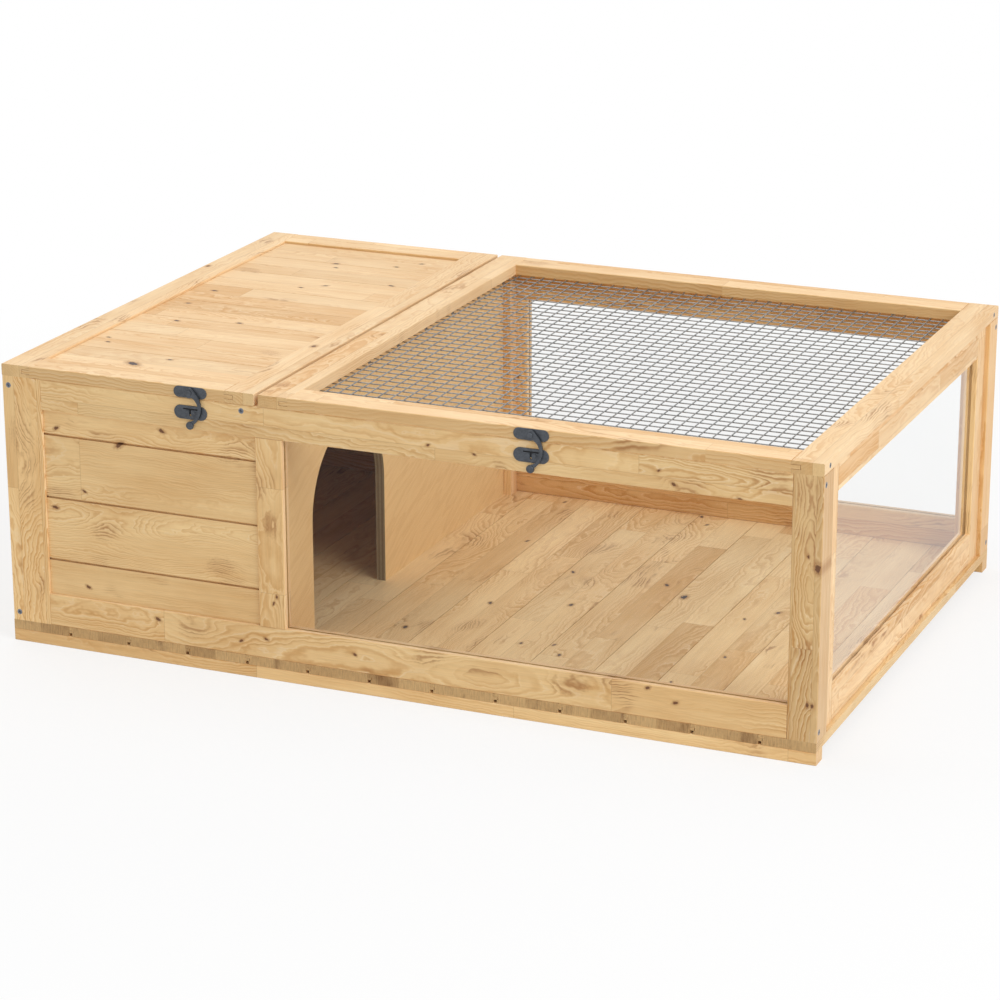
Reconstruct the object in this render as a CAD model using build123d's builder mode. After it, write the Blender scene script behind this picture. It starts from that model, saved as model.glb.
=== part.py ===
from build123d import *
import os
from math import ceil

os.makedirs("parts", exist_ok=True)

# Overall sizes in millimetres: X across the front, Y from front to back, Z up from the ground
house_width = 930.0
house_depth = 650.0
wall_height = 281.0
floor_thickness = 10.5
lid_thickness = 13.0

# The two skids that carry the floor, flush with its front and back edges
skid_height = 14.0
skid_width = 20.0

# Framing of the walls
frame_thickness = 15.0
top_rail_height = 34.5
bottom_rail_height = 36.0
corner_stile_width = 47.5
middle_stile_width = 31.0
back_middle_stile_width = 45.0
side_stile_width = 31.5
post_width = 32.0
post_depth = 32.5
side_recess = 5.0
edge_ease = 0.8

# Matched boards: the tongue of one lies in the groove of the next
board_tongue_thickness = 3.0
board_tongue_length = 4.5
board_gap = 0.2
narrowest_board = 15.0

# Wall planks, set back in grooves round their bay
plank_thickness = 9.0
plank_recess = 3.0
plank_pitch = 71.5
first_plank_height = 39.3
plank_reveal_height = 2.4
plank_reveal_depth = 2.6

# Floor boards, with an open channel under each joint
floor_board_pitch = 72.6
first_floor_board_width = 69.5
floor_channel_width = 3.7
floor_channel_height = 4.0
seam_reveal = 0.5

# Clear panes of the run
pane_thickness = 3.0

# Fits: how deep panels are housed and how much room they have
groove_depth = 6.0
end_clearance = 0.5
side_clearance = 0.2

# Divider between shelter and run, with an arched doorway
shelter_width = 321.0
divider_thickness = 11.0
divider_top_gap = 5.0
door_width = 183.0
door_spring_height = 126.0
door_middle_from_front = 181.0
front_cleat_width = 30.0
front_cleat_depth = 15.0
front_cleat_top_gap = 1.0
back_cleat_width = 10.0
back_cleat_depth = 18.5

# Lid frames, with stub tenons that show on their front and back edges
lid_gap = 5.0
lid_split_offset = 13.3
lid_stile_width = 34.5
lid_rail_width = 37.0
tenon_length = 9.5
tenon_thickness = 4.3
tenon_gap = 0.4
lid_plank_count = 8
lid_plank_thickness = 8.0
lid_plank_recess = 3.0
lid_groove_depth = 5.0

# Welded wire mesh on the underside of the run's lid
wire_diameter = 1.4
wire_sides = 8
mesh_pitch = 15.0
mesh_stile_overlap = 12.0
mesh_wall_clearance = 2.0
staple_thickness = 1.0
staple_width = 5.0
staple_leg = 7.0
staple_spacing = 5
first_staple = 2

# Butt hinges on the back, two to a lid, set in from its side edges to the hinge's middle
hinge_length = 38.0
hinge_leaf_height = 12.0
hinge_leaf_thickness = 1.2
knuckle_radius = 2.4
knuckle_wall_gap = 0.3
knuckle_end_gap = 0.3
pin_radius = 1.2
pin_clearance = 0.05
left_hinge_inset = 62.6
right_hinge_inset = 109.9
knuckle_count = 3
hinge_screw_spacing = 24.0
hinge_screw_inset = 5.0

# Swing-hook latches on the front
left_latch_from_left = 230.5
latch_plate_length = 39.0
latch_plate_height = 12.3
keeper_height = 15.0
keeper_drop = 22.2
latch_plate_thickness = 1.2
hook_gap = 0.9
hook_thickness = 1.6
hook_lobe_radius = 5.6
hook_knob_radius = 4.3
hook_knob_drop = 35.9
hook_reach = 13.7
hook_arm_width = 3.2
rivet_radius = 1.5
rivet_shoulder_radius = 3.4
rivet_head_radius = 3.0
rivet_head_height = 1.2
rivet_end_gap = 0.2
metal_edge = 0.3
knob_height = 1.0
keeper_slot_length = 17.5
keeper_slot_width = 1.6
keeper_slot_rise = 3.9
keeper_stem_width = 2.2
keeper_stem_length = 7.5
keeper_lip_length = 11.7
keeper_lip_height = 4.5
keeper_lip_thickness = 0.6

# Countersunk screws: shank radius, head radius and the lengths used
screw_radius = 1.75
screw_head_radius = 3.2
lid_screw_radius = 1.5
lid_screw_head_radius = 2.9
hinge_screw_radius = 1.2
hinge_screw_head_radius = 2.3
screw_clearance = 0.1
screw_sides = 8
corner_screw_length = 38.0
post_screw_length = 60.0
cleat_screw_length = 28.0
lid_screw_length = 45.0
hinge_screw_length = 12.0
top_screw_drop = 10.5
bottom_screw_rise = 9.5
cleat_screw_drop = 7.0
cleat_screw_offset = 30.8

# Faces that the pieces share
left = -house_width / 2
right = house_width / 2
front = -house_depth / 2
back = house_depth / 2
floor_top = skid_height + floor_thickness
wall_top = floor_top + wall_height
lid_top = wall_top + lid_thickness
low_rail_top = floor_top + bottom_rail_height
high_rail_bottom = wall_top - top_rail_height
left_inner = left + frame_thickness
front_inner = front + frame_thickness
back_inner = back - frame_thickness
side_outer = right - side_recess
side_inner = side_outer - frame_thickness
post_left = right - post_width
corner_right = left + corner_stile_width
divider_x = left + shelter_width
divider_left = divider_x - divider_thickness / 2
divider_right = divider_x + divider_thickness / 2
middle_left = divider_x - middle_stile_width / 2
middle_right = divider_x + middle_stile_width / 2
back_middle_right = middle_left + back_middle_stile_width
lid_split = divider_x - lid_split_offset
left_lid_right = lid_split - lid_gap / 2
right_lid_left = lid_split + lid_gap / 2
pane_inset = (frame_thickness - pane_thickness) / 2


def save(builder, name):
    """Labels a finished piece and writes it."""
    builder.part.label = name
    export_step(builder.part, f"parts/{name}.step")


def save_group(solids, name):
    """Writes like pieces that share a name, each still a solid of its own."""
    export_step(Compound(label=name, children=solids), f"parts/{name}.step")


def block(low, high, mode=Mode.ADD):
    """A rectangular block from its low corner to its high corner."""
    with Locations(low):
        Box(*(b - a for a, b in zip(low, high)), align=Align.MIN, mode=mode)


def fastener(shank_radius, head_radius, length):
    """A countersunk shank that points down, its head's face at the origin, with a few flat sides."""
    head_height = head_radius - shank_radius
    with BuildPart(mode=Mode.PRIVATE) as body:
        with BuildSketch(Plane.XY):
            RegularPolygon(head_radius, screw_sides)
        with BuildSketch(Plane.XY.offset(-head_height)):
            RegularPolygon(shank_radius, screw_sides)
        loft(ruled=True)
        with BuildSketch(Plane.XY.offset(-head_height)):
            RegularPolygon(shank_radius, screw_sides)
        extrude(amount=head_height - length)
    return body.part


def screws(sites, shank_radius, head_radius, length):
    """Countersunk wood screws, one at each site, with their heads flush."""
    screw = fastener(shank_radius, head_radius, length)
    return [screw.moved(site.location) for site in sites]


def drill(sites, shank_radius, head_radius, length):
    """Drills and countersinks the current piece for the screws that pass through it."""
    hole_radius = shank_radius + screw_clearance
    hole = fastener(hole_radius, head_radius + screw_clearance, length + screw_clearance)
    for site in sites:
        add(hole.moved(site.location), mode=Mode.SUBTRACT)


def timber(low, high, along, tongues=(), grooves=()):
    """A planed length of timber with eased edges, its tongues added and its grooves cut."""
    block(low, high)
    chamfer(faces().edges().filter_by(along), edge_ease)
    for corners in tongues:
        block(*corners)
    for corners in grooves:
        block(*corners, mode=Mode.SUBTRACT)


def span(outer_face, inward, near, far):
    """The low and high coordinates of a layer, by its depths below an outer face."""
    return sorted((outer_face + inward * near, outer_face + inward * far))


def joints_from(first, pitch, end):
    """Where boards of one pitch meet, leaving a last board of at least the narrowest width."""
    joints = [first]
    while joints[-1] + pitch + narrowest_board < end:
        joints.append(joints[-1] + pitch)
    return joints


def matched_board(plane, length, width, thickness, tongue, groove, reveal, channel=None):
    """A board in profile: across its thickness in local x, across its width in local y."""
    middle = thickness / 2
    groove_size = (board_tongue_thickness + 2 * side_clearance, board_tongue_length + end_clearance)
    with BuildPart() as board:
        with BuildSketch(plane):
            Rectangle(thickness, width, align=Align.MIN)
            if tongue:
                with Locations((middle, width)):
                    Rectangle(board_tongue_thickness, board_tongue_length, align=(Align.CENTER, Align.MIN))
            if groove:
                with Locations((middle, 0)):
                    Rectangle(*groove_size, align=(Align.CENTER, Align.MIN), mode=Mode.SUBTRACT)
                Rectangle(*reveal, align=Align.MIN, mode=Mode.SUBTRACT)
            if groove and channel:
                with Locations((thickness, 0)):
                    Rectangle(*channel, align=(Align.MAX, Align.MIN), mode=Mode.SUBTRACT)
        extrude(amount=length)
    return board.part


# Screw sites: each plane's origin is the centre of a head and its normal points out of the timber
screw_heights = (wall_top - top_screw_drop, floor_top + bottom_screw_rise)
wall_sides = (("front", front, 1), ("back", back, -1))
corner_sites = {}
post_sites = {}
cleat_sites = {}
for side, face, inward in wall_sides:
    outward = (0, -inward, 0)
    corner_sites[side] = [
        Plane(origin=(left + frame_thickness / 2, face, height), z_dir=outward) for height in screw_heights
    ]
    post_sites[side] = [
        Plane(origin=(right, face + inward * frame_thickness / 2, height), z_dir=(1, 0, 0))
        for height in screw_heights
    ]
cleat_height = wall_top - cleat_screw_drop
cleat_sites["front"] = [Plane(origin=(divider_x - cleat_screw_offset, front, cleat_height), z_dir=(0, -1, 0))]
cleat_sites["back"] = [
    Plane(origin=(divider_right + back_cleat_width / 2, back, cleat_height - divider_top_gap), z_dir=(0, 1, 0))
]
corner_screw = (screw_radius, screw_head_radius, corner_screw_length)
post_screw = (screw_radius, screw_head_radius, post_screw_length)
cleat_screw = (screw_radius, screw_head_radius, cleat_screw_length)
lid_screw = (lid_screw_radius, lid_screw_head_radius, lid_screw_length)
hinge_screw = (hinge_screw_radius, hinge_screw_head_radius, hinge_screw_length)

# Hinge places, and the screws through each leaf
right_lid_middle = (right_lid_left + right) / 2
left_hinges = [left + left_hinge_inset, left_lid_right - left_hinge_inset]
right_hinges = [right_lid_left + right_hinge_inset, right - right_hinge_inset]


def hinge_sites(hinges, leaf_side):
    """Screw sites in the leaves above (1) or below (-1) the hinge line."""
    height = wall_top + leaf_side * (hinge_leaf_height - hinge_screw_inset)
    return [
        Plane(origin=(x + offset, back + hinge_leaf_thickness, height), z_dir=(0, 1, 0))
        for x in hinges
        for offset in (-hinge_screw_spacing / 2, hinge_screw_spacing / 2)
    ]


# Skids under the front and back edges of the floor
for side, face, inward in wall_sides:
    y_low, y_high = span(face, inward, 0, skid_width)
    with BuildPart() as skid:
        timber((left, y_low, 0), (right, y_high, skid_height), Axis.X)
    save(skid, f"{side}_skid")

# Floor of matched boards that run from front to back
floor_boards = []
floor_edges = [left, *joints_from(left + first_floor_board_width, floor_board_pitch, right), right]
for board_left, board_right in zip(floor_edges, floor_edges[1:]):
    last = board_right == right
    top_edge = Plane(origin=(board_left, back, floor_top), x_dir=(0, 0, -1), z_dir=(0, -1, 0))
    floor_boards.append(
        matched_board(
            top_edge,
            house_depth,
            board_right - board_left - (0 if last else board_gap),
            floor_thickness,
            tongue=not last,
            groove=board_left > left,
            reveal=(seam_reveal, seam_reveal),
            channel=(floor_channel_height, floor_channel_width),
        )
    )
save_group(floor_boards, "floor_boards")

# Heights of the wall planks: the lowest is ripped narrow, and the top one fills what is left
plank_housing = groove_depth - end_clearance
plank_joints = joints_from(low_rail_top + first_plank_height, plank_pitch, high_rail_bottom)
plank_edges = [low_rail_top - plank_housing, *plank_joints, high_rail_bottom + plank_housing]


def wall_planks(plane_at, length, name):
    """A bay of planks; plane_at gives the profile's plane at a height."""
    planks = []
    for low, high in zip(plank_edges, plank_edges[1:]):
        top_plank = high == plank_edges[-1]
        planks.append(
            matched_board(
                plane_at(low),
                length,
                high - low - (0 if top_plank else board_gap),
                plank_thickness,
                tongue=not top_plank,
                groove=low != plank_edges[0],
                reveal=(plank_reveal_depth, plank_reveal_height),
            )
        )
    save_group(planks, name)


# Front and back walls: a boarded bay by the shelter and a glazed bay by the run
for side, face, inward in wall_sides:
    y_low, y_high = span(face, inward, 0, frame_thickness)
    plank_low, plank_high = span(face, inward, plank_recess, plank_recess + plank_thickness)
    plank_slot = (plank_low - side_clearance, plank_high + side_clearance)
    pane_low, pane_high = span(face, inward, pane_inset, pane_inset + pane_thickness)
    pane_slot = (pane_low - side_clearance, pane_high + side_clearance)
    stile_right = middle_right if side == "front" else back_middle_right

    with BuildPart() as corner_stile:
        timber(
            (left, y_low, floor_top),
            (corner_right, y_high, wall_top),
            Axis.Z,
            grooves=[
                ((corner_right - groove_depth, plank_slot[0], floor_top), (corner_right, plank_slot[1], wall_top))
            ],
        )
        drill(corner_sites[side], *corner_screw)
    save(corner_stile, f"{side}_left_stile")

    with BuildPart() as middle_stile:
        timber(
            (middle_left, y_low, low_rail_top),
            (stile_right, y_high, high_rail_bottom),
            Axis.Z,
            tongues=[
                ((middle_left, plank_low, low_rail_top - plank_housing), (stile_right, plank_high, low_rail_top)),
                (
                    (middle_left, plank_low, high_rail_bottom),
                    (stile_right, plank_high, high_rail_bottom + plank_housing),
                ),
            ],
            grooves=[
                (
                    (middle_left, plank_slot[0], low_rail_top - plank_housing),
                    (middle_left + groove_depth, plank_slot[1], high_rail_bottom + plank_housing),
                ),
                (
                    (stile_right - groove_depth, pane_slot[0], low_rail_top - plank_housing),
                    (stile_right, pane_slot[1], high_rail_bottom + plank_housing),
                ),
            ],
        )
    save(middle_stile, f"{side}_middle_stile")

    rail_levels = {
        "top": (high_rail_bottom, wall_top, high_rail_bottom, high_rail_bottom + groove_depth),
        "bottom": (floor_top, low_rail_top, low_rail_top - groove_depth, low_rail_top),
    }
    for level, (z_low, z_high, groove_low, groove_high) in rail_levels.items():
        with BuildPart() as rail:
            timber(
                (corner_right, y_low, z_low),
                (post_left, y_high, z_high),
                Axis.X,
                tongues=[
                    ((corner_right - plank_housing, plank_low, z_low), (corner_right, plank_high, z_high)),
                    ((post_left, pane_low, z_low), (post_left + plank_housing, pane_high, z_high)),
                ],
                grooves=[
                    (
                        (corner_right - plank_housing, plank_slot[0], groove_low),
                        (stile_right, plank_slot[1], groove_high),
                    ),
                    (
                        (stile_right, pane_slot[0], groove_low),
                        (post_left + plank_housing, pane_slot[1], groove_high),
                    ),
                ],
            )
            drill(post_sites[side], *post_screw)
            if level == "top":
                drill(cleat_sites[side], *cleat_screw)
                if side == "back":
                    drill(hinge_sites(left_hinges + right_hinges, -1), *hinge_screw)
        save(rail, f"{side}_{level}_rail")

    post_low, post_high = span(face, inward, 0, post_depth)
    with BuildPart() as post:
        timber(
            (post_left, post_low, floor_top),
            (right, post_high, wall_top),
            Axis.Z,
            grooves=[((post_left, pane_slot[0], floor_top), (post_left + groove_depth, pane_slot[1], wall_top))],
        )
        drill(post_sites[side], *post_screw)
    save(post, f"{side}_right_post")

    plank_start = corner_right - plank_housing if side == "front" else middle_left + plank_housing
    wall_planks(
        lambda height: Plane(
            origin=(plank_start, face + inward * plank_recess, height), x_dir=(0, inward, 0), z_dir=(inward, 0, 0)
        ),
        middle_left - corner_right + 2 * plank_housing,
        f"{side}_planks",
    )

    with BuildPart() as pane:
        block(
            (stile_right - plank_housing, pane_low, low_rail_top - plank_housing),
            (post_left + plank_housing, pane_high, high_rail_bottom + plank_housing),
        )
    save(pane, f"{side}_window")

# Side walls: the left one is boarded and the right one, set back between its posts, is glazed
side_frames = {
    "left": (left, 1, front_inner, back_inner, plank_recess, plank_thickness),
    "right": (side_outer, -1, front + post_depth, back - post_depth, pane_inset, pane_thickness),
}
for side, (face, inward, y_start, y_end, panel_inset, panel_thickness) in side_frames.items():
    x_low, x_high = span(face, inward, 0, frame_thickness)
    panel_low, panel_high = span(face, inward, panel_inset, panel_inset + panel_thickness)
    slot_low, slot_high = panel_low - side_clearance, panel_high + side_clearance
    bay_start = y_start + side_stile_width
    bay_end = y_end - side_stile_width

    for place, stile_start, groove_start in (
        ("front", y_start, bay_start - groove_depth),
        ("back", bay_end, bay_end),
    ):
        with BuildPart() as stile:
            timber(
                (x_low, stile_start, floor_top),
                (x_high, stile_start + side_stile_width, wall_top),
                Axis.Z,
                grooves=[
                    ((slot_low, groove_start, floor_top), (slot_high, groove_start + groove_depth, wall_top))
                ],
            )
            if side == "left":
                drill(corner_sites[place], *corner_screw)
        save(stile, f"{side}_{place}_stile")

    for level, (z_low, z_high, groove_low, groove_high) in rail_levels.items():
        with BuildPart() as rail:
            timber(
                (x_low, bay_start, z_low),
                (x_high, bay_end, z_high),
                Axis.Y,
                tongues=[
                    ((panel_low, bay_start - plank_housing, z_low), (panel_high, bay_start, z_high)),
                    ((panel_low, bay_end, z_low), (panel_high, bay_end + plank_housing, z_high)),
                ],
                grooves=[
                    (
                        (slot_low, bay_start - plank_housing, groove_low),
                        (slot_high, bay_end + plank_housing, groove_high),
                    )
                ],
            )
        save(rail, f"{side}_{level}_rail")

    if side == "left":
        wall_planks(
            lambda height: Plane(
                origin=(left + plank_recess, bay_end + plank_housing, height), x_dir=(1, 0, 0), z_dir=(0, -1, 0)
            ),
            bay_end - bay_start + 2 * plank_housing,
            "left_planks",
        )
    else:
        with BuildPart() as pane:
            block(
                (panel_low, bay_start - plank_housing, low_rail_top - plank_housing),
                (panel_high, bay_end + plank_housing, high_rail_bottom + plank_housing),
            )
        save(pane, "right_window")

# Divider with its arched doorway, and the cleats that hold its two ends
divider_top = wall_top - divider_top_gap
door_middle = front + door_middle_from_front
with BuildPart() as divider:
    with BuildSketch(Plane.YZ.offset(divider_left)):
        with Locations((front_inner, floor_top)):
            Rectangle(back_inner - front_inner, divider_top - floor_top, align=Align.MIN)
        with Locations((door_middle, floor_top)):
            Rectangle(door_width, door_spring_height, align=(Align.CENTER, Align.MIN), mode=Mode.SUBTRACT)
        with Locations((door_middle, floor_top + door_spring_height)):
            Circle(door_width / 2, mode=Mode.SUBTRACT)
    extrude(amount=divider_thickness)
save(divider, "divider")

with BuildPart() as front_cleat:
    timber(
        (divider_left - front_cleat_width, front_inner, floor_top),
        (divider_left, front_inner + front_cleat_depth, wall_top - front_cleat_top_gap),
        Axis.Z,
    )
    drill(cleat_sites["front"], *cleat_screw)
save(front_cleat, "front_divider_cleat")

with BuildPart() as back_cleat:
    timber(
        (divider_right, back_inner - back_cleat_depth, floor_top),
        (divider_right + back_cleat_width, back_inner, divider_top),
        Axis.Z,
    )
    drill(cleat_sites["back"], *cleat_screw)
save(back_cleat, "back_divider_cleat")

# Lids: stiles run the full depth, and the rails' stub tenons lie in slots open at their ends
tenon_low = wall_top + (lid_thickness - tenon_thickness) / 2
tenon_high = tenon_low + tenon_thickness
panel_top = lid_top - lid_plank_recess
panel_bottom = panel_top - lid_plank_thickness
lid_housing = lid_groove_depth - end_clearance
panel_front = front + lid_rail_width - lid_housing
panel_back = back - lid_rail_width + lid_housing
rail_spans = {"front": (front, front + lid_rail_width), "back": (back - lid_rail_width, back)}
lids = {"left": (left, left_lid_right, left_hinges), "right": (right_lid_left, right, right_hinges)}
lid_screw_sites = {}
for lid, (lid_left, lid_right, hinges) in lids.items():
    bay_left = lid_left + lid_stile_width
    bay_right = lid_right - lid_stile_width
    middle_height = wall_top + lid_thickness / 2
    lid_screw_sites[lid] = [
        Plane(origin=(edge, (y_low + y_high) / 2, middle_height), z_dir=(outward, 0, 0))
        for edge, outward in ((lid_left, -1), (lid_right, 1))
        for y_low, y_high in rail_spans.values()
    ]
    for place, stile_left, slot_left, groove_left in (
        ("left", lid_left, bay_left - tenon_length - end_clearance, bay_left - lid_groove_depth),
        ("right", bay_right, bay_right, bay_right),
    ):
        slot_right = slot_left + tenon_length + end_clearance
        grooves = [
            ((slot_left, y_low, tenon_low - tenon_gap), (slot_right, y_high, tenon_high + tenon_gap))
            for y_low, y_high in rail_spans.values()
        ]
        if lid == "left":
            grooves.append(
                (
                    (groove_left, panel_front - end_clearance, panel_bottom - side_clearance),
                    (groove_left + lid_groove_depth, panel_back + end_clearance, panel_top + side_clearance),
                )
            )
        with BuildPart() as stile:
            timber(
                (stile_left, front, wall_top),
                (stile_left + lid_stile_width, back, lid_top),
                Axis.Y,
                grooves=grooves,
            )
            drill(lid_screw_sites[lid], *lid_screw)
        save(stile, f"{lid}_lid_{place}_stile")

    for place, (y_low, y_high) in rail_spans.items():
        inner_edge = y_high - lid_groove_depth if place == "front" else y_low
        with BuildPart() as rail:
            timber(
                (bay_left, y_low, wall_top),
                (bay_right, y_high, lid_top),
                Axis.X,
                tongues=[
                    ((bay_left - tenon_length, y_low, tenon_low), (bay_left, y_high, tenon_high)),
                    ((bay_right, y_low, tenon_low), (bay_right + tenon_length, y_high, tenon_high)),
                ],
                grooves=[
                    (
                        (bay_left - tenon_length, inner_edge, panel_bottom - side_clearance),
                        (bay_right + tenon_length, inner_edge + lid_groove_depth, panel_top + side_clearance),
                    )
                ]
                if lid == "left"
                else (),
            )
            drill(lid_screw_sites[lid], *lid_screw)
            if place == "back":
                drill(hinge_sites(hinges, 1), *hinge_screw)
        save(rail, f"{lid}_lid_{place}_rail")

# Planks of the left lid, side by side from front to back
lid_plank_pitch = (panel_back - panel_front) / lid_plank_count
lid_plank_left = left + lid_stile_width - lid_housing
lid_plank_length = left_lid_right - lid_stile_width + lid_housing - lid_plank_left
lid_planks = []
for number in range(lid_plank_count):
    last = number == lid_plank_count - 1
    top_edge = Plane(
        origin=(lid_plank_left, panel_front + number * lid_plank_pitch, panel_top),
        x_dir=(0, 0, -1),
        z_dir=(1, 0, 0),
    )
    lid_planks.append(
        matched_board(
            top_edge,
            lid_plank_length,
            lid_plank_pitch - (0 if last else board_gap),
            lid_plank_thickness,
            tongue=not last,
            groove=number > 0,
            reveal=(seam_reveal, seam_reveal),
        )
    )
save_group(lid_planks, "left_lid_planks")


def wire(start, direction, length):
    """One straight wire of the mesh."""
    with BuildPart() as rod:
        with BuildSketch(Plane(origin=start, x_dir=(0, 0, 1), z_dir=direction)):
            RegularPolygon(wire_diameter / 2, wire_sides, major_radius=False, rotation=180 / wire_sides)
        extrude(amount=length)
    return rod.part


# Wire mesh under the right lid, notched round the corner posts; the wires along Y lie on top
run_left = right_lid_left + lid_stile_width
run_right = right - lid_stile_width
mesh_middle = (run_left + run_right) / 2
mesh_half_depth = back_inner - mesh_wall_clearance
notched_half_depth = back - post_depth - mesh_wall_clearance
mesh_left = run_left - mesh_stile_overlap
mesh_right = side_inner - mesh_wall_clearance
notched_right = post_left - mesh_wall_clearance
upper_layer = wall_top - wire_diameter / 2
lower_layer = upper_layer - wire_diameter
across_count = ceil((run_right - mesh_middle) / mesh_pitch)
depth_count = ceil((back - lid_rail_width) / mesh_pitch)
wires = []
for number in range(-across_count, across_count + 1):
    x = mesh_middle + number * mesh_pitch
    half_depth = mesh_half_depth if x < notched_right else notched_half_depth
    wires.append(wire((x, -half_depth, upper_layer), (0, 1, 0), 2 * half_depth))
for number in range(-depth_count, depth_count + 1):
    y = number * mesh_pitch
    end = mesh_right if abs(y) < notched_half_depth else notched_right
    wires.append(wire((mesh_left, y, lower_layer), (1, 0, 0), end - mesh_left))
save_group(wires, "right_lid_mesh")


def staple(plane, reach):
    """A staple in profile: its crown passes under a wire and its legs are driven into the lid."""
    with BuildPart() as bent:
        with BuildSketch(plane):
            Rectangle(staple_width, reach + staple_leg, align=(Align.CENTER, Align.MIN))
            with Locations((0, staple_thickness)):
                Rectangle(
                    staple_width - 2 * staple_thickness,
                    reach + staple_leg,
                    align=(Align.CENTER, Align.MIN),
                    mode=Mode.SUBTRACT,
                )
        extrude(amount=staple_thickness / 2, both=True)
    return bent.part


def between_wires(edge):
    """The first line halfway between two wires that keeps a staple past an edge of the lid's opening."""
    half_pitch = mesh_pitch / 2
    return mesh_pitch * ceil((edge + staple_thickness / 2 - half_pitch) / mesh_pitch) + half_pitch


# Staples: over the upper wires on the rails, and over the lower wires on the stiles
staples = []
rail_line = between_wires(back - lid_rail_width)
rail_reach = wire_diameter + staple_thickness
stile_reach = 2 * wire_diameter + staple_thickness
for number in range(first_staple - across_count, across_count, staple_spacing):
    for y in (-rail_line, rail_line):
        crown = (mesh_middle + number * mesh_pitch, y, wall_top - rail_reach)
        staples.append(staple(Plane(origin=crown, x_dir=(1, 0, 0), z_dir=(0, -1, 0)), rail_reach))
stile_line = between_wires(run_right - mesh_middle)
for number in range(first_staple - depth_count, depth_count, staple_spacing):
    for x in (mesh_middle - stile_line, mesh_middle + stile_line):
        crown = (x, number * mesh_pitch, wall_top - stile_reach)
        staples.append(staple(Plane(origin=crown, x_dir=(0, 1, 0), z_dir=(1, 0, 0)), stile_reach))
save_group(staples, "mesh_staples")

# Butt hinges: the axis lies along X at the foot of the lids, just behind the back wall
axis_y = back + knuckle_wall_gap + knuckle_radius
knuckle_length = hinge_length / knuckle_count


def hinge_leaf(hinge_x, leaf_side, knuckle_starts):
    """A leaf above (1) or below (-1) the axis, with a knuckle rolled on at each start."""
    plate_near = wall_top + leaf_side * (knuckle_radius + knuckle_wall_gap)
    plate_far = wall_top + leaf_side * hinge_leaf_height
    plate_low, plate_high = sorted((plate_near, plate_far))
    neck_low, neck_high = sorted((plate_near, wall_top + leaf_side * knuckle_wall_gap))
    with BuildPart() as leaf:
        block(
            (hinge_x - hinge_length / 2, back, plate_low),
            (hinge_x + hinge_length / 2, back + hinge_leaf_thickness, plate_high),
        )
        for start in knuckle_starts:
            knuckle_left = hinge_x - hinge_length / 2 + start * knuckle_length + knuckle_end_gap / 2
            with BuildSketch(Plane.YZ.offset(knuckle_left)):
                with Locations((back, neck_low)):
                    Rectangle(hinge_leaf_thickness, neck_high - neck_low, align=Align.MIN)
                with Locations((axis_y, wall_top)):
                    Circle(knuckle_radius)
                    Circle(pin_radius + pin_clearance, mode=Mode.SUBTRACT)
            extrude(amount=knuckle_length - knuckle_end_gap)
        drill(hinge_sites([hinge_x], leaf_side), *hinge_screw)
    return leaf.part


def hinge_pin(hinge_x):
    """The pin through all the knuckles of one hinge."""
    with BuildPart() as pin:
        with BuildSketch(Plane(origin=(hinge_x - hinge_length / 2, axis_y, wall_top), z_dir=(1, 0, 0))):
            Circle(pin_radius)
        extrude(amount=hinge_length)
    return pin.part


all_hinges = left_hinges + right_hinges
save_group([hinge_leaf(x, -1, (0, 2)) for x in all_hinges], "house_hinge_leaves")
save_group([hinge_pin(x) for x in all_hinges], "hinge_pins")
save_group([hinge_leaf(x, 1, (1,)) for x in left_hinges], "left_lid_hinge_leaves")
save_group([hinge_leaf(x, 1, (1,)) for x in right_hinges], "right_lid_hinge_leaves")


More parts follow.
